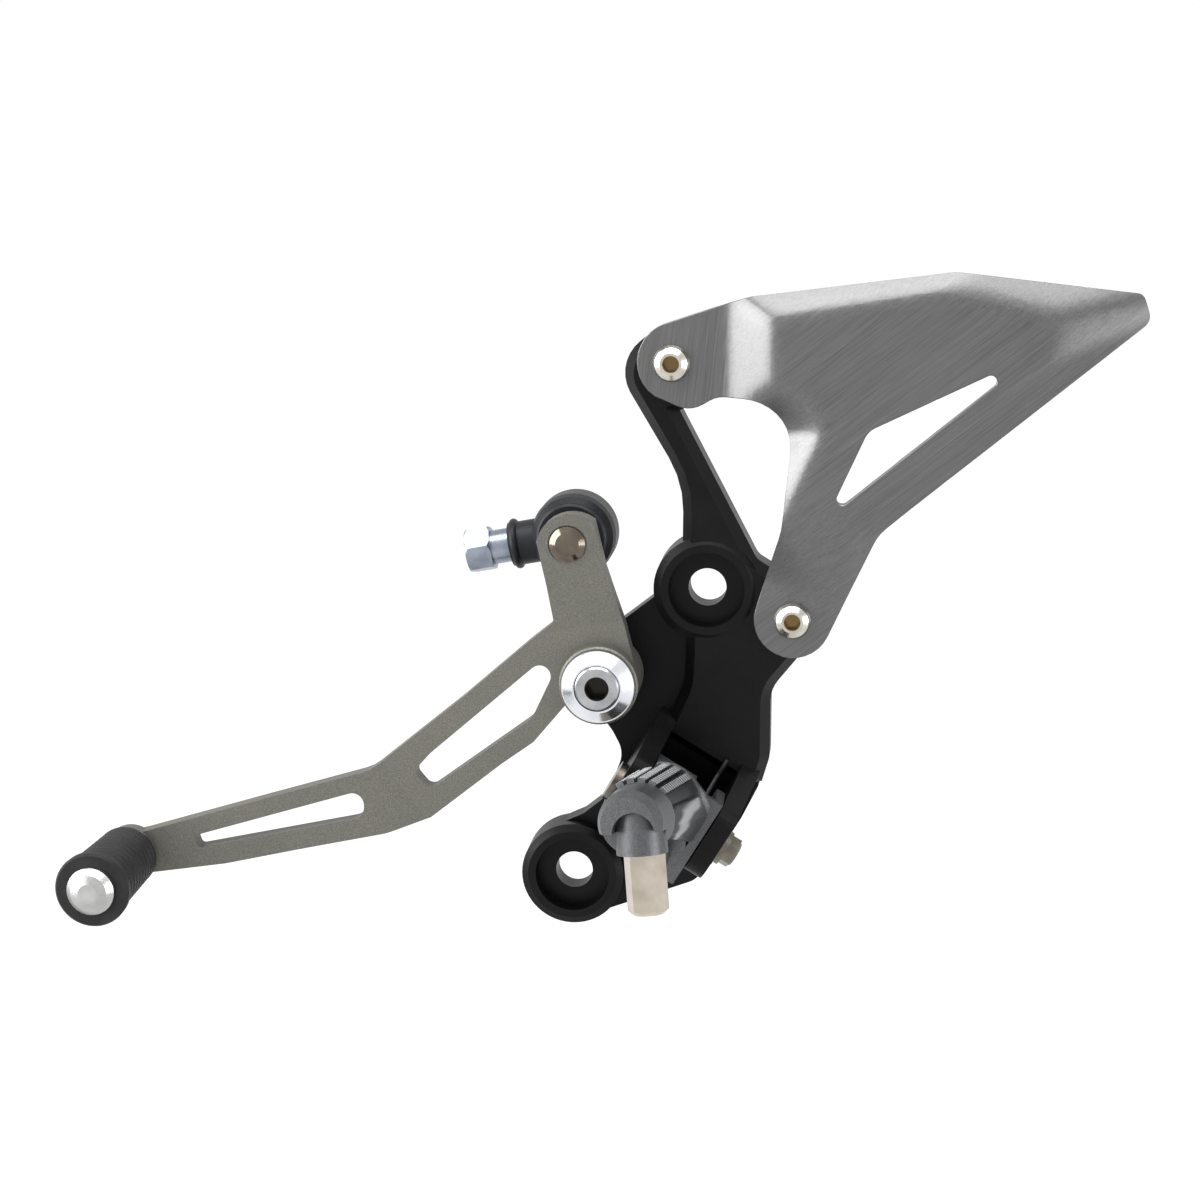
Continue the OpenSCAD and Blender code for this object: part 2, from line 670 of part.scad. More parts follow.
// A round wire along a path
function wire_ring(c, t, r, m) = let (a = unit(cross(t, [0.3, 0.2, 1])),
    b = unit(cross(t, a)))
    [for (j = [0:m - 1]) c + r * (a * cos(360 * j / m) + b * sin(360 * j / m))];
module wire(path, r, m = 12) {
    n = len(path);
    points = [for (i = [0:n - 1])
        let (t = path[min(i + 1, n - 1)] - path[max(i - 1, 0)])
        each wire_ring(path[i], t, r, m)];
    polyhedron(points = points, faces = concat(
        [[for (j = [0:m - 1]) j]],
        [for (i = [0:n - 2]) for (j = [0:m - 1]) let (k = (j + 1) % m)
            each [[i * m + j, (i + 1) * m + j, (i + 1) * m + k],
                [i * m + j, (i + 1) * m + k, i * m + k]]],
        [[for (j = [m - 1:-1:0]) (n - 1) * m + j]]));
}

coil_r = pin_d / 2 + wire_d / 2 + 1.8;
coil_pitch = wire_d + 0.15;
coil_turns = 2.25;
coil_u = ear_right - 8.4;
leg_q = arm_depth - pin_depth + wire_d / 2 + 0.1;
spring_path = concat(
    [for (i = [0:54]) let (f = i / 54, a = -90 - 360 * coil_turns * (1 - f))
        [coil_r * cos(a), coil_r * sin(a), coil_u + coil_pitch * coil_turns * f]],
    [[5, -8.6, coil_u + 4], [12.5, leg_q + 0.4, coil_u + 4],
        [14.5, leg_q, coil_u + 4], [19.5, leg_q, coil_u + 4]]);
module peg_spring() color(screw_grey) on_pin() wire(spring_path, wire_d / 2);

// Foot peg. Its own frame: x to the rear, y up, z away from the frame
peg_foot = [-8.6, -arm_depth - 11, -58.4];
module peg_frame() translate(peg_foot) rotate([0, 0, -8.2])
    rotate([-7.8, 0, 0]) rotate([0, -6.5, 0]) rotate([90, 0, 0]) children();
row_angles = [-25, -6, 12, 30, 50];
tread_z0 = 13;
tread_z1 = 45;
tooth_pitch = (tread_z1 - tread_z0) / teeth;
block_u0 = ear_left + ear_t + move_gap;
block_u1 = ear_right - move_gap;
stop_q = web_depth + 0.3 - pin_depth;

module tread_row(angle) {
    rotate([0, 0, -angle]) translate([0, 9.2, 0]) rotate([0, -90, 0])
        linear_extrude(2.1, center = true)
            polygon(concat([[tread_z0, -3.2]],
                [for (i = [0:teeth - 1]) let (z = tread_z0 + i * tooth_pitch,
                    h = 0.2 - 0.02 * (z - tread_z0))
                    each [[z, h], [z + tooth_pitch * 0.45, h + tooth_h],
                        [z + tooth_pitch * 0.7, h + tooth_h],
                        [z + tooth_pitch * 0.8, h]]],
                [[tread_z1, -0.4], [tread_z1, -3.2]]));
}

// Hood at the tip, open below, over the boss of the feeler bolt
boss_x = 2.1;
boss_z = 49.5;
boss_foot = -9.4;
boss_top = 2.1;
bolt_x = 2.6;
module peg_tip() peg_frame() {
    difference() {
        union() {
            translate([0.6, -0.6, 44]) cylinder(h = 10.5, r1 = 9.8, r2 = 9);
            translate([0.6, -0.6, 54.5]) cylinder(h = 3.5, r1 = 9, r2 = 7.4);
        }
        translate([2, -3.4, 48.6]) cylinder(h = 20, r = 5.9);
        translate([-3.8, -30, 48.6]) cube([11.6, 26.8, 20]);
        translate([-20, -30, 51]) cube([40, 27, 20]);
    }
    translate([boss_x, boss_top, boss_z]) rotate([90, 0, 0])
        cylinder(h = boss_top - boss_foot + 0.6, r = 7);
}

module peg_bar() peg_frame() {
    translate([0, 0, 9]) cylinder(h = 4, r1 = 10.6, r2 = 11.2);
    translate([0, 0, 12.5]) cylinder(h = 33.5, r1 = 9.4, r2 = 8.6);
}

// A small ball in the frame of the peg, and one on the block
module knob(p, r) peg_frame() translate(p) sphere(r = r, $fn = 16);
module block_knob(p, q, u, r) on_pin() translate([p, q, u])
    sphere(r = r, $fn = 16);

module foot_peg() color(cast_grey) difference() {
    union() {
        peg_bar();
        peg_tip();
        for (a = row_angles) peg_frame() tread_row(a);
        // Block between the ears, with the heel that stops on the web
        on_pin() translate([0, 0, block_u0])
            linear_extrude(block_u1 - block_u0) union() {
                polygon(rounded([[-15, stop_q], [-8, stop_q], [-8, -9, 2],
                    [12.5, -9, 4], [12.5, 8], [-15, 8]]));
            }
        // Root of the peg
        hull() {
            on_pin() translate([-14, 3, block_u0 + 1.6])
                cube([25, 4.4, block_u1 - block_u0 - 3.2]);
            peg_frame() translate([0, 0, 9.5]) cylinder(h = 1, r = 10.6,
                $fn = 32);
        }
        // Shoulder from the hood to the rear end of the block
        hull() {
            knob([7.4, -2.2, 48], 1.4);
            knob([8.6, 0.5, 38], 1.4);
            knob([9.6, 0, 14], 1.4);
            knob([2, -2, 44], 3);
            knob([2, -2, 14], 3);
            block_knob(7, 5, block_u1 - 2.6, 1.4);
            block_knob(-1, 5.5, block_u1 - 2.6, 1.4);
        }
        // Keel below the tread, down to the front of the block
        hull() {
            knob([boss_x - 3.4, -3.4, 41], 3.4);
            knob([boss_x + 2, -3.8, 42.2], 3.2);
            block_knob(-11, 5.5, block_u0 + 12, 2);
            block_knob(-11, 5.5, block_u1 - 6, 2);
            block_knob(-4, 5.5, block_u0 + 5, 2);
        }
    }
    // Lower front corner of the block
    across() translate([0, 8, 0]) rotate([-90, 0, 0]) linear_extrude(30)
        polygon([[pin_v - 9.8, -block_u0 + 1], [pin_v - 20, -block_u0 + 1],
            [pin_v - 20, -block_u0 - 9.7]]);
    on_pin() translate([0, 0, block_u0 - 1])
        cylinder(h = block_u1 - block_u0 + 2, r = pin_d / 2 + run_gap);
    // Room for the ears while the peg folds
    for (u = [ear_left - 2, block_u1])
        on_pin() translate([0, 0, u])
            linear_extrude(u < ear_right - 1 ? block_u0 - u : ear_t + 4)
                for (a = [0:10:80]) rotate([0, 0, a])
                    translate([-pin_v, -pin_depth]) polygon(ear_side(move_gap));
    on_pin() translate([0, 0, coil_u - 1.6]) {
        cylinder(h = 7, r = coil_r + 2.2);
        translate([0, -30, 0]) cube([17.5, 36, 7]);
    }
    // Flat seat of the feeler bolt
    peg_frame() translate([-20, boss_foot - 30, 42]) cube([40, 30, 20]);
    peg_frame() translate([bolt_x, boss_foot + 1, boss_z]) rotate([90, 0, 0])
        translate([0, 0, -8]) cylinder(h = 11, r = 3 + thread_gap);
}

// A hexagon bolt with a slanted end
module feeler_bolt() color(bright_metal) peg_frame()
    translate([bolt_x, boss_foot, boss_z]) rotate([90, 0, 0]) union() {
        translate([0, 0, -8]) cylinder(h = 8 + eps, r = 3);
        intersection() {
            cylinder(h = feeler_l, r = feeler_hex / sqrt(3), $fn = 6);
            union() {
                cylinder(h = feeler_l - 1.6, r = feeler_hex * 0.6);
                translate([0, 0, feeler_l - 1.6]) cylinder(h = 1.6,
                    r1 = feeler_hex * 0.6, r2 = feeler_hex * 0.42);
            }
        }
    }

bracket();
heel_guard();
guard_screw_upper();
guard_screw_lower();
pivot_sleeve();
pivot_cap();
pivot_bolt();
pivot_seal_front();
pivot_seal_rear();
peg_hinge_pin();
pin_washer();
pin_screw();
peg_spring();
shift_lever();
pivot_bush_front();
pivot_bush_rear();
shift_peg_rod();
shift_peg_washer();
shift_peg_rubber();
ball_stud();
ball_race_front();
ball_race_rear();
rod_end_housing();
rod_end_cap();
rod_end_boot();
foot_peg();
feeler_bolt();
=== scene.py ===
import json
import math

import bmesh
import bpy
import numpy as np
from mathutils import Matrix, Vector


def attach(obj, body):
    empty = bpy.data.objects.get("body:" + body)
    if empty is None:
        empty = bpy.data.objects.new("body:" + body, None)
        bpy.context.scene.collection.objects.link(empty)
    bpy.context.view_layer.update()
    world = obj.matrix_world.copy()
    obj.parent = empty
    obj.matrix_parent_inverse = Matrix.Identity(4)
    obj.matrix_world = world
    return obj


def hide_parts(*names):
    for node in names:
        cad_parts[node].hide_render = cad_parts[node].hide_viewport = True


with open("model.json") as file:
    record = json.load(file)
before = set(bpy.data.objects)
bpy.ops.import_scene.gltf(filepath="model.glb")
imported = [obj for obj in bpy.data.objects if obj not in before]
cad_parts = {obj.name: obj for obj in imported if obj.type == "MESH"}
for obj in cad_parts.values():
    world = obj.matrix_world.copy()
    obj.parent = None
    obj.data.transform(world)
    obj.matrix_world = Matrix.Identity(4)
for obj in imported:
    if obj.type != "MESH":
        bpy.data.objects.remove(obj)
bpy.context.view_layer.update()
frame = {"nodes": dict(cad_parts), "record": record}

nodes = frame["nodes"]
MM = 0.001

# Centres in metres, [x, z], of round pieces whose axis runs along Y
PIVOT = (-0.0299, -0.026)
UPPER_SCREW = (-0.0103, 0.0653)
LOWER_SCREW = (0.0249, -0.0080)
# The foot peg's axis: its foot and its direction
PEG_FOOT = (-0.0086, -0.025, -0.0584)
PEG_AXIS = (-0.1413, -0.9806, 0.1357)


# Materials
def colour(r, g, b):
    """An 8 bit colour as it shows on screen, made linear."""
    def linear(v):
        v /= 255
        return v / 12.92 if v <= 0.04045 else ((v + 0.055) / 1.055) ** 2.4
    return (linear(r), linear(g), linear(b), 1.0)


class Maker:
    """Builds one material, and keeps its node tree at hand."""

    def __init__(self, name, metallic=0.0, **sockets):
        self.material = bpy.data.materials.new(name)
        self.material.use_nodes = True
        self.tree = self.material.node_tree
        self.tree.nodes.clear()
        out = self.new("ShaderNodeOutputMaterial")
        self.shader = self.new("ShaderNodeBsdfPrincipled")
        self.link(self.shader.outputs[0], out.inputs[0])
        self.shader.inputs["Metallic"].default_value = metallic
        for key, value in sockets.items():
            self.shader.inputs[key.replace("_", " ")].default_value = value
        self.place = self.new("ShaderNodeTexCoord").outputs["Object"]

    def new(self, kind, **values):
        node = self.tree.nodes.new(kind)
        for key, value in values.items():
            if hasattr(node, key):
                setattr(node, key, value)
            else:
                node.inputs[key.replace("_", " ")].default_value = value
        return node

    def link(self, a, b):
        self.tree.links.new(a, b)

    def noise(self, scale, detail=4.0, rough=0.6, stretch=None, turn=None):
        """Noise with its scale in cycles a metre. stretch scales each axis."""
        node = self.new("ShaderNodeTexNoise", Scale=scale, Detail=detail,
                        Roughness=rough)
        place = self.place
        if turn is not None:
            spin = self.new("ShaderNodeVectorRotate", rotation_type="Y_AXIS",
                            Angle=turn)
            self.link(place, spin.inputs["Vector"])
            place = spin.outputs[0]
        if stretch is not None:
            mapping = self.new("ShaderNodeMapping")
            mapping.inputs["Scale"].default_value = stretch
            self.link(place, mapping.inputs["Vector"])
            place = mapping.outputs[0]
        self.link(place, node.inputs["Vector"])
        return node.outputs["Fac"]

    def ramp(self, value, low, high, a, b):
        node = self.new("ShaderNodeMapRange")
        for key, number in (("From Min", low), ("From Max", high),
                            ("To Min", a), ("To Max", b)):
            node.inputs[key].default_value = number
        self.link(value, node.inputs["Value"])
        return node.outputs[0]

    def mix(self, factor, a, b):
        node = self.new("ShaderNodeMix", data_type="RGBA")
        self.link(factor, node.inputs[0])
        for socket, value in ((node.inputs[6], a), (node.inputs[7], b)):
            if isinstance(value, tuple):
                socket.default_value = value
            else:
                self.link(value, socket)
        return node.outputs[2]

    def maths(self, operation, a, b=None):
        node = self.new("ShaderNodeMath", operation=operation)
        for socket, value in zip(node.inputs, (a, b)):
            if value is None:
                continue
            if isinstance(value, (int, float)):
                socket.default_value = value
            else:
                self.link(value, socket)
        return node.outputs[0]

    def radius(self, x, z):
        """Distance from an axis along Y, in metres."""
        move = self.new("ShaderNodeVectorMath", operation="MULTIPLY_ADD")
        move.inputs[1].default_value = (1, 0, 1)
        move.inputs[2].default_value = (-x, 0, -z)
        length = self.new("ShaderNodeVectorMath", operation="LENGTH")
        self.link(self.place, move.inputs[0])
        self.link(move.outputs[0], length.inputs[0])
        return length.outputs["Value"]

    def from_peg_axis(self):
        """Distance from the foot peg's axis, and distance along it."""
        arm = self.new("ShaderNodeVectorMath", operation="SUBTRACT")
        arm.inputs[1].default_value = PEG_FOOT
        self.link(self.place, arm.inputs[0])
        dot = self.new("ShaderNodeVectorMath", operation="DOT_PRODUCT")
        dot.inputs[1].default_value = PEG_AXIS
        self.link(arm.outputs[0], dot.inputs[0])
        part = self.new("ShaderNodeVectorMath", operation="SCALE")
        part.inputs[0].default_value = PEG_AXIS
        self.link(dot.outputs["Value"], part.inputs["Scale"])
        rest = self.new("ShaderNodeVectorMath", operation="SUBTRACT")
        self.link(arm.outputs[0], rest.inputs[0])
        self.link(part.outputs[0], rest.inputs[1])
        length = self.new("ShaderNodeVectorMath", operation="LENGTH")
        self.link(rest.outputs[0], length.inputs[0])
        return length.outputs["Value"], dot.outputs["Value"]

    def finish(self, base=None, rough=None, bumps=()):
        """Links colour, roughness and the bumps, each (height, distance)."""
        if base is not None:
            self.link(base, self.shader.inputs["Base Color"])
        if rough is not None:
            self.link(rough, self.shader.inputs["Roughness"])
        normal = None
        for height, distance in bumps:
            bump = self.new("ShaderNodeBump", Strength=1.0, Distance=distance)
            self.link(height, bump.inputs["Height"])
            if normal is not None:
                self.link(normal, bump.inputs["Normal"])
            normal = bump.outputs[0]
        if normal is not None:
            self.link(normal, self.shader.inputs["Normal"])
        return self.material


def black_paint():
    m = Maker("black_paint", Specular_IOR_Level=0.14)
    large = m.noise(90, 3)
    fine = m.noise(2600, 2, 0.5)
    base = m.mix(m.ramp(large, 0.35, 0.7, 0, 1), colour(5, 5, 5),
                 colour(9, 9, 9))
    return m.finish(base, m.ramp(large, 0.3, 0.7, 0.34, 0.44),
                    [(fine, 0.00003)])


TABS_END = 0.0055
UPRIGHT = math.radians(84)


def brushed(name, low, high, turn, rough=0.36, depth=0.000008):
    """Fine strokes along a line in the XZ plane. Left of TABS_END, on the
    upper tab, they stand upright."""
    m = Maker(name, metallic=0.9)

    def strokes(angle):
        fine = m.noise(1.0, 2, 0.5, stretch=(90, 6000, 9000), turn=angle)
        long_one = m.noise(1.0, 2, 0.5, stretch=(24, 1500, 2600), turn=angle)
        return m.maths("ADD", m.maths("MULTIPLY", fine, 0.6),
                       m.maths("MULTIPLY", long_one, 0.4))

    parts = m.new("ShaderNodeSeparateXYZ")
    m.link(m.place, parts.inputs[0])
    tab = m.maths("LESS_THAN", parts.outputs["X"], TABS_END)
    slanted, upright = strokes(turn), strokes(UPRIGHT)
    tone = m.maths("ADD", m.maths("MULTIPLY", slanted,
                                  m.maths("SUBTRACT", 1.0, tab)),
                   m.maths("MULTIPLY", upright, tab))
    cloud = m.noise(28, 3, 0.5)
    base = m.mix(m.ramp(tone, 0.36, 0.64, 0, 1), low, high)
    base = m.mix(m.ramp(cloud, 0.35, 0.7, 0, 0.2), base, high)
    return m.finish(base, m.ramp(tone, 0.3, 0.7, rough - 0.05, rough + 0.06),
                    [(tone, depth)])


def blasted():
    m = Maker("blasted_aluminium", metallic=0.75)
    grain = m.noise(2300, 3, 0.7)
    speck = m.noise(5200, 2, 0.6)
    cloud = m.noise(45, 4, 0.55)
    base = m.mix(m.ramp(grain, 0.36, 0.66, 0, 1), colour(90, 89, 83),
                 colour(114, 112, 106))
    base = m.mix(m.ramp(cloud, 0.35, 0.72, 0, 0.35), base,
                 colour(93, 92, 87))
    return m.finish(base, m.ramp(speck, 0.3, 0.7, 0.42, 0.6),
                    [(grain, 0.00006), (speck, 0.00003)])


def plated(name, low, high, rough, metallic=1.0, grain=0.00001):
    m = Maker(name, metallic=metallic)
    cloud = m.noise(160, 3, 0.5)
    fine = m.noise(2600, 3, 0.6)
    base = m.mix(m.ramp(cloud, 0.3, 0.7, 0, 1), low, high)
    return m.finish(base, m.ramp(fine, 0.3, 0.7, rough * 0.8, rough * 1.25),
                    [(fine, grain)])


def screw(name, centre, socket_r, low, high, socket_shade):
    """Plated head, with painted shade as the darker colour within its socket."""
    m = Maker(name, metallic=1.0)
    away = m.radius(*centre)
    cloud = m.noise(220, 3, 0.5)
    fine = m.noise(3200, 3, 0.6)
    base = m.mix(m.ramp(cloud, 0.3, 0.7, 0, 1), low, high)
    # Painted shade: within the socket the colour turns to the darker one
    base = m.mix(m.maths("LESS_THAN", away, socket_r), base, socket_shade)
    return m.finish(base, m.ramp(fine, 0.3, 0.7, 0.16, 0.3), [(fine, 0.00001)])


RING_PITCH = 0.00032


def turned(name, centre, low, high, rough=0.2):
    """Rings of a turning tool about an axis along Y."""
    m = Maker(name, metallic=1.0)
    away = m.radius(*centre)
    wave = m.maths("SINE", m.maths("MULTIPLY", away, 2 * math.pi / RING_PITCH))
    cloud = m.noise(120, 3, 0.5)
    fine = m.noise(3200, 3, 0.6)
    base = m.mix(m.ramp(cloud, 0.3, 0.7, 0, 1), low, high)
    return m.finish(base, m.ramp(fine, 0.3, 0.7, rough * 0.8, rough * 1.3),
                    [(wave, 0.000004), (fine, 0.000006)])


def rubber(name, low, high, rough, grain):
    m = Maker(name, Specular_IOR_Level=0.2)
    cloud = m.noise(140, 4, 0.6)
    fine = m.noise(2400, 3, 0.65)
    base = m.mix(m.ramp(cloud, 0.3, 0.7, 0, 1), low, high)
    return m.finish(base, m.ramp(fine, 0.3, 0.7, rough - 0.08, rough + 0.1),
                    [(fine, grain)])


# The tread of the foot peg, in metres. Its tips lie TIP_R - TIP_TAPER * along
# from the axis, where along is the distance from the axis's foot
TREAD_START, TREAD_END = 0.012, 0.0445
TIP_R, TIP_TAPER = 0.01126, 0.02


def cast():
    """Cast skin. In the tread the tips of the teeth get a painted highlight, and
    just below the tips painted shade.
    """
    m = Maker("cast_aluminium", metallic=0.7)
    pits = m.noise(3800, 3, 0.6)
    lump = m.noise(650, 3, 0.5)
    cloud = m.noise(110, 3, 0.5)
    base = m.mix(m.ramp(pits, 0.3, 0.7, 0, 1), colour(58, 59, 61),
                 colour(104, 105, 107))
    base = m.mix(m.ramp(cloud, 0.35, 0.7, 0, 0.5), base, colour(72, 73, 75))
    away, along = m.from_peg_axis()
    # Mask for the tread's painted highlight and painted shade
    teeth = m.maths("MULTIPLY",
                    m.ramp(along, TREAD_START, TREAD_START + 0.004, 0, 1),
                    m.ramp(along, TREAD_END - 0.001, TREAD_END, 1, 0))
    tip = m.maths("SUBTRACT", TIP_R, m.maths("MULTIPLY", along, TIP_TAPER))
    below = m.maths("SUBTRACT", tip, away)
    teeth = m.maths("MULTIPLY", teeth, m.ramp(below, -0.0006, -0.0003, 0, 1))
    # Painted highlight on the tips of the teeth, fading to painted shade between
    # them
    shade = m.mix(m.ramp(below, 0.0001, 0.0004, 0, 1), colour(176, 177, 179),
                  colour(30, 31, 33))
    base = m.mix(m.maths("MULTIPLY", teeth, 0.85), base, shade)
    return m.finish(base, m.ramp(pits, 0.3, 0.7, 0.34, 0.5),
                    [(lump, 0.00007), (pits, 0.00004)])


def plastic():
    m = Maker("race_plastic")
    cloud = m.noise(300, 3, 0.5)
    base = m.mix(m.ramp(cloud, 0.3, 0.7, 0, 1), colour(208, 206, 196),
                 colour(222, 220, 212))
    return m.finish(base, m.ramp(cloud, 0.3, 0.7, 0.4, 0.5),
                    [(cloud, 0.00001)])


nickel = (colour(176, 172, 162), colour(204, 200, 190))
looks = {
    "black_paint": black_paint(),
    "ground_steel": plated("ground_steel", colour(160, 160, 160),
                           colour(186, 186, 184), 0.34, grain=0.00002),
    "turned_aluminium": turned("turned_aluminium", PIVOT,
                               colour(205, 208, 214), colour(228, 230, 234)),
    "seal_rubber": rubber("seal_rubber", colour(14, 14, 14),
                          colour(24, 24, 24), 0.5, 0.00001),
    "spring_steel": plated("spring_steel", colour(30, 30, 32),
                           colour(46, 46, 48), 0.32, 0.6),
    "blasted_aluminium": blasted(),
    "bush_bronze": plated("bush_bronze", colour(150, 118, 70),
                          colour(176, 142, 90), 0.4),
    "zinc_plate": plated("zinc_plate", colour(112, 119, 130),
                         colour(150, 158, 170), 0.28),
    "grip_rubber": rubber("grip_rubber", colour(20, 20, 21),
                          colour(34, 34, 35), 0.55, 0.00004),
    "race_plastic": plastic(),
    "boot_rubber": rubber("boot_rubber", colour(16, 17, 20),
                          colour(28, 29, 33), 0.42, 0.00002),
    "cast_aluminium": cast(),
    "bright_steel": plated("bright_steel", colour(176, 166, 152),
                           colour(200, 191, 178), 0.14),
}
# Yellow-brown painted shade for the sockets of the guard screws
brass_toned_socket_shade = colour(112, 92, 62)
pin_steel = plated("pin_steel", colour(92, 88, 80), colour(130, 124, 112), 0.3,
                   grain=0.00002)
# Nodes with a look of their own, apart from their material slot's
own_looks = {
    # The last colour of each screw below is painted shade within its socket
    "guard_screw_upper": screw("nickel_guard_screw_upper", UPPER_SCREW, 0.0024,
                               *nickel, brass_toned_socket_shade),
    "guard_screw_lower": screw("nickel_guard_screw_lower", LOWER_SCREW, 0.0024,
                               *nickel, brass_toned_socket_shade),
    "pivot_bolt": screw("pivot_screw", PIVOT, 0.0035, colour(150, 152, 155),
                        colour(178, 180, 182), colour(40, 38, 34)),
    "peg_hinge_pin": pin_steel,
    "pin_washer": pin_steel,
    "pin_screw": pin_steel,
    "ball_stud": plated("stud_steel", colour(88, 81, 72), colour(116, 108, 97),
                        0.14),
}
for part in frame["record"]["subparts"]:
    name = part["node"]
    materials = nodes[name].data.materials
    materials.clear()
    if name != "heel_guard":
        materials.append(own_looks.get(name) or looks[part["material_slot"]])


# Small rounds on the machined and cast edges
def soften(name, width, segments=2, angle=30, edge_look=None):
    node = nodes[name]
    bevel = node.modifiers.new("rounds", "BEVEL")
    bevel.width = width
    bevel.segments = segments
    bevel.limit_method = "ANGLE"
    bevel.angle_limit = math.radians(angle)
    bevel.use_clamp_overlap = True
    bevel.harden_normals = True
    if edge_look is not None:
        node.data.materials.append(edge_look)
        bevel.material = len(node.data.materials) - 1


edge_grey = plated("lever_edges", colour(120, 119, 112), colour(146, 144, 136),
                   0.4, 0.85, 0.00003)
for name, width, segments in (
        ("bracket", 0.6, 2), ("shift_lever", 0.7, 3), ("foot_peg", 0.3, 1),
        ("feeler_bolt", 0.3, 2), ("rod_end_housing", 0.3, 2),
        ("pivot_cap", 0.2, 2), ("pivot_bolt", 0.3, 2), ("pin_washer", 0.2, 2),
        ("pin_screw", 0.2, 2), ("peg_hinge_pin", 0.3, 2),
        ("guard_screw_upper", 0.2, 2), ("guard_screw_lower", 0.2, 2),
        ("shift_peg_washer", 0.2, 1), ("shift_peg_rubber", 0.3, 2),
        ("ball_stud", 0.3, 2), ("shift_peg_rod", 0.6, 3)):
    soften(name, width * MM, segments,
           edge_look=edge_grey if name == "shift_lever" else None)


# Heel guard: the bent sheet with its rounded bends, over the solid's outline.
# Its faces fall from crease lines, in millimetres and [x, z]
TOP, TAB, SHEET = 25.0, 16.5, 2.5
ROLL_C, ROLL_R, ROLL_SLOPE = (15.9, 41.6), 17.6, 38
# Two points of each crease, and the slope in degrees on its far side
CREASES = (
    ((18.3, 0), (18.3, 50), 34),
    ((18.2, 79), (61.3, 86.1), 42),
    ((62.7, 87), (96.7, 79.6), 30),
    ((95.1, 70.9), (96.7, 79.6), -15),
    ((40.7, 25.6), (21.5, 21.9), 16),
)
# The bends are rounded over this length, the rim has this chamfer, and the
# sheet is cut into cells of this size
BEND, CHAMFER, CELL = 2.4, 0.2, 1.6
# Points closer than MERGE become one, and edges shorter than SLIVER go
MERGE, SLIVER = 0.12, 0.05


def guard_depth(x, z):
    """Depth of the sheet's front at each point, before the bends are rounded."""
    def past(a, b):
        d = np.array(b, float) - np.array(a, float)
        d /= np.hypot(*d)
        return -d[1] * (x - a[0]) + d[0] * (z - a[1])

    def fall(a, b, slope):
        return TOP - np.tan(np.radians(slope)) * past(a, b)

    # Above the leg, past the start of the roll, and above the lower tab
    leg = z - 5 - 0.318 * x
    over_roll = -5 * (x - 32) + 16.1 * (z - 46.6)
    rise = (x - 17.8) * 0.36 + (z - 3.1) * 0.933
    cone = TOP - (ROLL_R - np.hypot(x - ROLL_C[0], z - ROLL_C[1])) \
        * np.tan(np.radians(ROLL_SLOPE))
    faces = [
        np.full_like(x, TOP),
        *(fall(*crease) for crease in CREASES),
        np.where(leg > 0, fall((97.1, 68.2), (40.8, 22.8), 38), TOP),
        np.where(over_roll > 0, np.minimum(cone, TOP),
                 fall((21.5, 21.9), (32, 46.6), ROLL_SLOPE)),
        TAB + 0.45 * rise,
        np.where(leg < 0, 23.9 - 0.378 * (x - 38.3) + 0.256 * (z - 21.4), TOP),
    ]
    depth = np.minimum.reduce(faces)
    tab = (x < 6) & (z > 20) | (rise < 0) & (z < 40)
    return np.where(tab, np.maximum(depth, TAB), depth)


# Pitch, first point and number of points of the grid of depths
GRID, LOW_X, LOW_Z, N_X, N_Z = 0.5, -40.0, -45.0, 380, 320


def smooth_field(sigma):
    """The depth on a grid, blurred so that each bend gets a round."""
    xs = LOW_X + GRID * np.arange(N_X)
    zs = LOW_Z + GRID * np.arange(N_Z)
    x, z = np.meshgrid(xs, zs, indexing="ij")
    field = guard_depth(x, z)
    reach = int(3 * sigma / GRID)
    kernel = np.exp(-0.5 * (np.arange(-reach, reach + 1) * GRID / sigma) ** 2)
    kernel /= kernel.sum()
    for axis in (0, 1):
        field = np.apply_along_axis(
            lambda row: np.convolve(np.pad(row, reach, mode="edge"), kernel,
                                    mode="valid"), axis, field)
    return field


def sample(field, x, z):
    """The depth between the points of the grid."""
    i, j = (x - LOW_X) / GRID, (z - LOW_Z) / GRID
    a, b = int(i), int(j)
    s, t = i - a, j - b
    return (field[a, b] * (1 - s) * (1 - t) + field[a + 1, b] * s * (1 - t)
            + field[a, b + 1] * (1 - s) * t + field[a + 1, b + 1] * s * t)


def thicken(bm):
    """Back face and rim of the sheet, with a small chamfer on both sides."""
    front, points = bm.faces[:], bm.verts[:]
    normal = {v: v.normal.copy() for v in points}
    rim = [e for e in bm.edges if len(e.link_faces) == 1]
    away = {}
    for edge in rim:
        loop = edge.link_loops[0]
        along = loop.link_loop_next.vert.co - loop.vert.co
        out = along.cross(loop.face.normal).normalized()
        for v in edge.verts:
            away[v] = away.get(v, Vector()) + out
    back = {v: bm.verts.new(v.co - normal[v] * SHEET * MM) for v in points}
    rings = []
    for depth in (CHAMFER, SHEET - CHAMFER):
        rings.append({v: bm.verts.new(
            v.co + away[v].normalized() * CHAMFER * MM
            - normal[v] * depth * MM) for v in away})
    layers = [{v: v for v in away}, *rings, back]
    for face in front:
        bm.faces.new([back[v] for v in reversed(face.verts)])
    for edge in rim:
        loop = edge.link_loops[0]
        a, b = loop.vert, loop.link_loop_next.vert
        for near, far in zip(layers, layers[1:]):
            bm.faces.new((near[b], near[a], far[a], far[b]))
        for layer in layers:
            bm.edges.get((layer[a], layer[b])).smooth = False
    bm.normal_update()


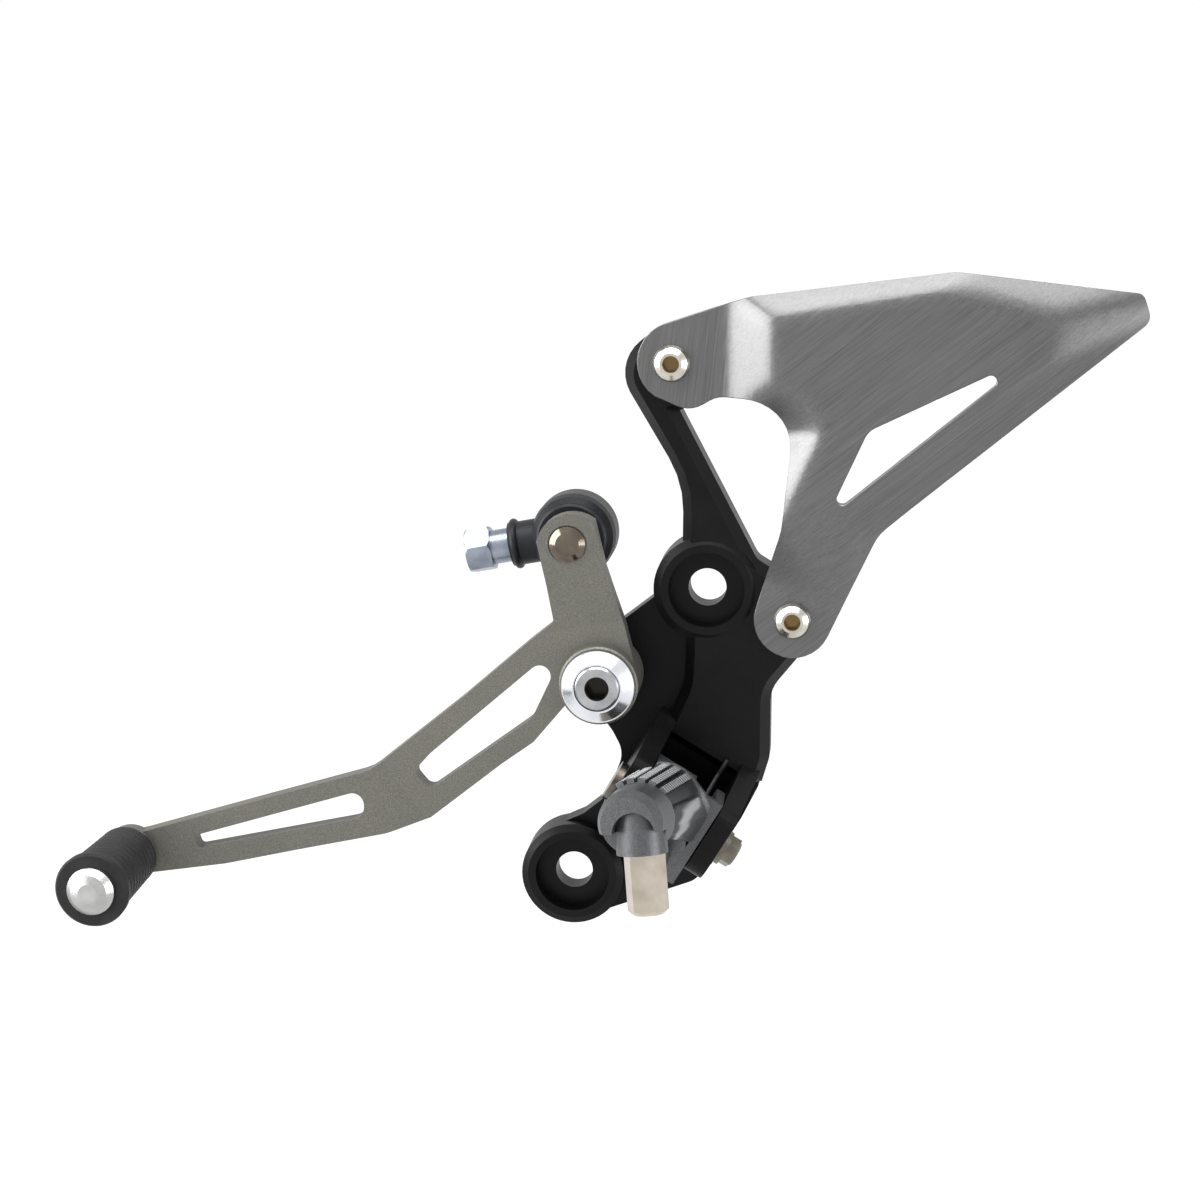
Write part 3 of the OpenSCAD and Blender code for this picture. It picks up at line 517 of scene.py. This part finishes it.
def make_guard():
    """The front of the solid, cut into cells, bent and thickened."""
    field = smooth_field(BEND)
    mesh = nodes["heel_guard"].data.copy()
    bm = bmesh.new()
    bm.from_mesh(mesh)
    bm.normal_update()
    bmesh.ops.delete(bm, geom=[f for f in bm.faces if f.normal.y > -0.3],
                     context="FACES")
    bmesh.ops.remove_doubles(bm, verts=bm.verts, dist=1e-6)
    step = CELL * MM
    low = [min(v.co[i] for v in bm.verts) for i in range(3)]
    high = [max(v.co[i] for v in bm.verts) for i in range(3)]
    for axis in (0, 2):
        cut = low[axis] + step * 0.5
        normal = Vector([1 if i == axis else 0 for i in range(3)])
        while cut < high[axis]:
            bmesh.ops.bisect_plane(
                bm, geom=bm.verts[:] + bm.edges[:] + bm.faces[:],
                plane_co=normal * cut, plane_no=normal, dist=1e-6)
            cut += step
    for v in bm.verts:
        v.co.y = -sample(field, v.co.x / MM, v.co.z / MM) * MM
    bmesh.ops.remove_doubles(bm, verts=bm.verts, dist=MERGE * MM)
    bmesh.ops.dissolve_degenerate(bm, edges=bm.edges, dist=SLIVER * MM)
    bm.normal_update()
    thicken(bm)
    bm.to_mesh(mesh)
    bm.free()
    mesh.name = "guard_sheet"
    guard = bpy.data.objects.new("guard_sheet", mesh)
    bpy.context.scene.collection.objects.link(guard)
    for polygon in mesh.polygons:
        polygon.use_smooth = True
    return guard


guard = make_guard()
guard.data.materials.clear()
guard.data.materials.append(brushed(
    "brushed_sheet", colour(88, 88, 89), colour(110, 110, 110),
    math.radians(38)))
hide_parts("heel_guard")
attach(guard, "bracket_body")


# Camera, at the photograph's angle
camera_data = bpy.data.cameras.new("camera")
camera_data.sensor_fit = "HORIZONTAL"
camera_data.sensor_width = 36
camera_data.lens = 72.45
camera_data.clip_start = 0.01
camera = bpy.data.objects.new("camera", camera_data)
bpy.context.scene.collection.objects.link(camera)
camera.location = (0.04406, -0.69663, 0.13000)
camera.rotation_euler = (math.radians(90 - 11.013), 0, math.radians(6.263))
bpy.context.scene.camera = camera


# Floor, world and lamps
FLOOR_Z = -0.20
FLOOR_GLOW, FLOOR_SHARE = 1.12, 0.88


def floor():
    """White floor. What looks at it sees mostly its glow, and its shadow."""
    size = 6.0
    mesh = bpy.data.meshes.new("floor")
    mesh.from_pydata([(-size, -size, 0), (size, -size, 0), (size, size, 0),
                      (-size, size, 0)], [], [(0, 1, 2, 3)])
    obj = bpy.data.objects.new("floor", mesh)
    bpy.context.scene.collection.objects.link(obj)
    obj.location.z = FLOOR_Z
    m = Maker("floor_white", Roughness=0.9)
    cloud = m.noise(3, 2, 0.5)
    base = m.mix(m.ramp(cloud, 0.3, 0.7, 0, 1), colour(250, 250, 250),
                 colour(252, 252, 252))
    m.finish(base)
    light = m.new("ShaderNodeLightPath")
    glow = m.new("ShaderNodeEmission", Strength=FLOOR_GLOW)
    glow.inputs["Color"].default_value = (1, 1, 1, 1)
    seen = m.maths("MAXIMUM", light.outputs["Is Camera Ray"],
                   m.maths("MAXIMUM", light.outputs["Is Glossy Ray"],
                           light.outputs["Is Transmission Ray"]))
    blend = m.new("ShaderNodeMixShader")
    m.link(m.maths("MULTIPLY", seen, FLOOR_SHARE), blend.inputs[0])
    m.link(m.shader.outputs[0], blend.inputs[1])
    m.link(glow.outputs[0], blend.inputs[2])
    out = next(n for n in m.tree.nodes if n.type == "OUTPUT_MATERIAL")
    m.link(blend.outputs[0], out.inputs[0])
    mesh.materials.append(m.material)


floor()

def studio_world():
    """Pale light on the object, and white for what looks at the world."""
    world = bpy.data.worlds.new("studio")
    bpy.context.scene.world = world
    world.use_nodes = True
    tree = world.node_tree
    tree.nodes.clear()
    blend = tree.nodes.new("ShaderNodeMixShader")
    for socket, strength in ((1, 0.27), (2, 1.0)):
        light = tree.nodes.new("ShaderNodeBackground")
        light.inputs["Color"].default_value = (1, 1, 1, 1)
        light.inputs["Strength"].default_value = strength
        tree.links.new(light.outputs[0], blend.inputs[socket])
    path = tree.nodes.new("ShaderNodeLightPath")
    seen = path.outputs["Is Camera Ray"]
    for ray in ("Is Glossy Ray", "Is Transmission Ray"):
        most = tree.nodes.new("ShaderNodeMath")
        most.operation = "MAXIMUM"
        tree.links.new(seen, most.inputs[0])
        tree.links.new(path.outputs[ray], most.inputs[1])
        seen = most.outputs[0]
    tree.links.new(seen, blend.inputs[0])
    out = tree.nodes.new("ShaderNodeOutputWorld")
    tree.links.new(blend.outputs[0], out.inputs[0])


studio_world()


def lamp(name, place, target, size, power):
    """Rectangular area lamp that looks at its target."""
    data = bpy.data.lights.new(name, "AREA")
    data.shape = "RECTANGLE"
    data.size, data.size_y = size
    data.energy = power
    obj = bpy.data.objects.new(name, data)
    bpy.context.scene.collection.objects.link(obj)
    obj.location = place
    aim = Vector(target) - Vector(place)
    obj.rotation_euler = aim.to_track_quat("-Z", "Y").to_euler()


middle = (-0.02, 0, 0)
lamp("key_left", (-1.0, -0.42, 0.30), middle, (0.9, 1.0), 23)
lamp("top", (0.0, -0.35, 1.0), middle, (1.1, 0.7), 15)
lamp("right", (0.85, -0.50, -0.05), middle, (0.5, 0.5), 6)

bpy.context.scene.view_settings.view_transform = "Standard"
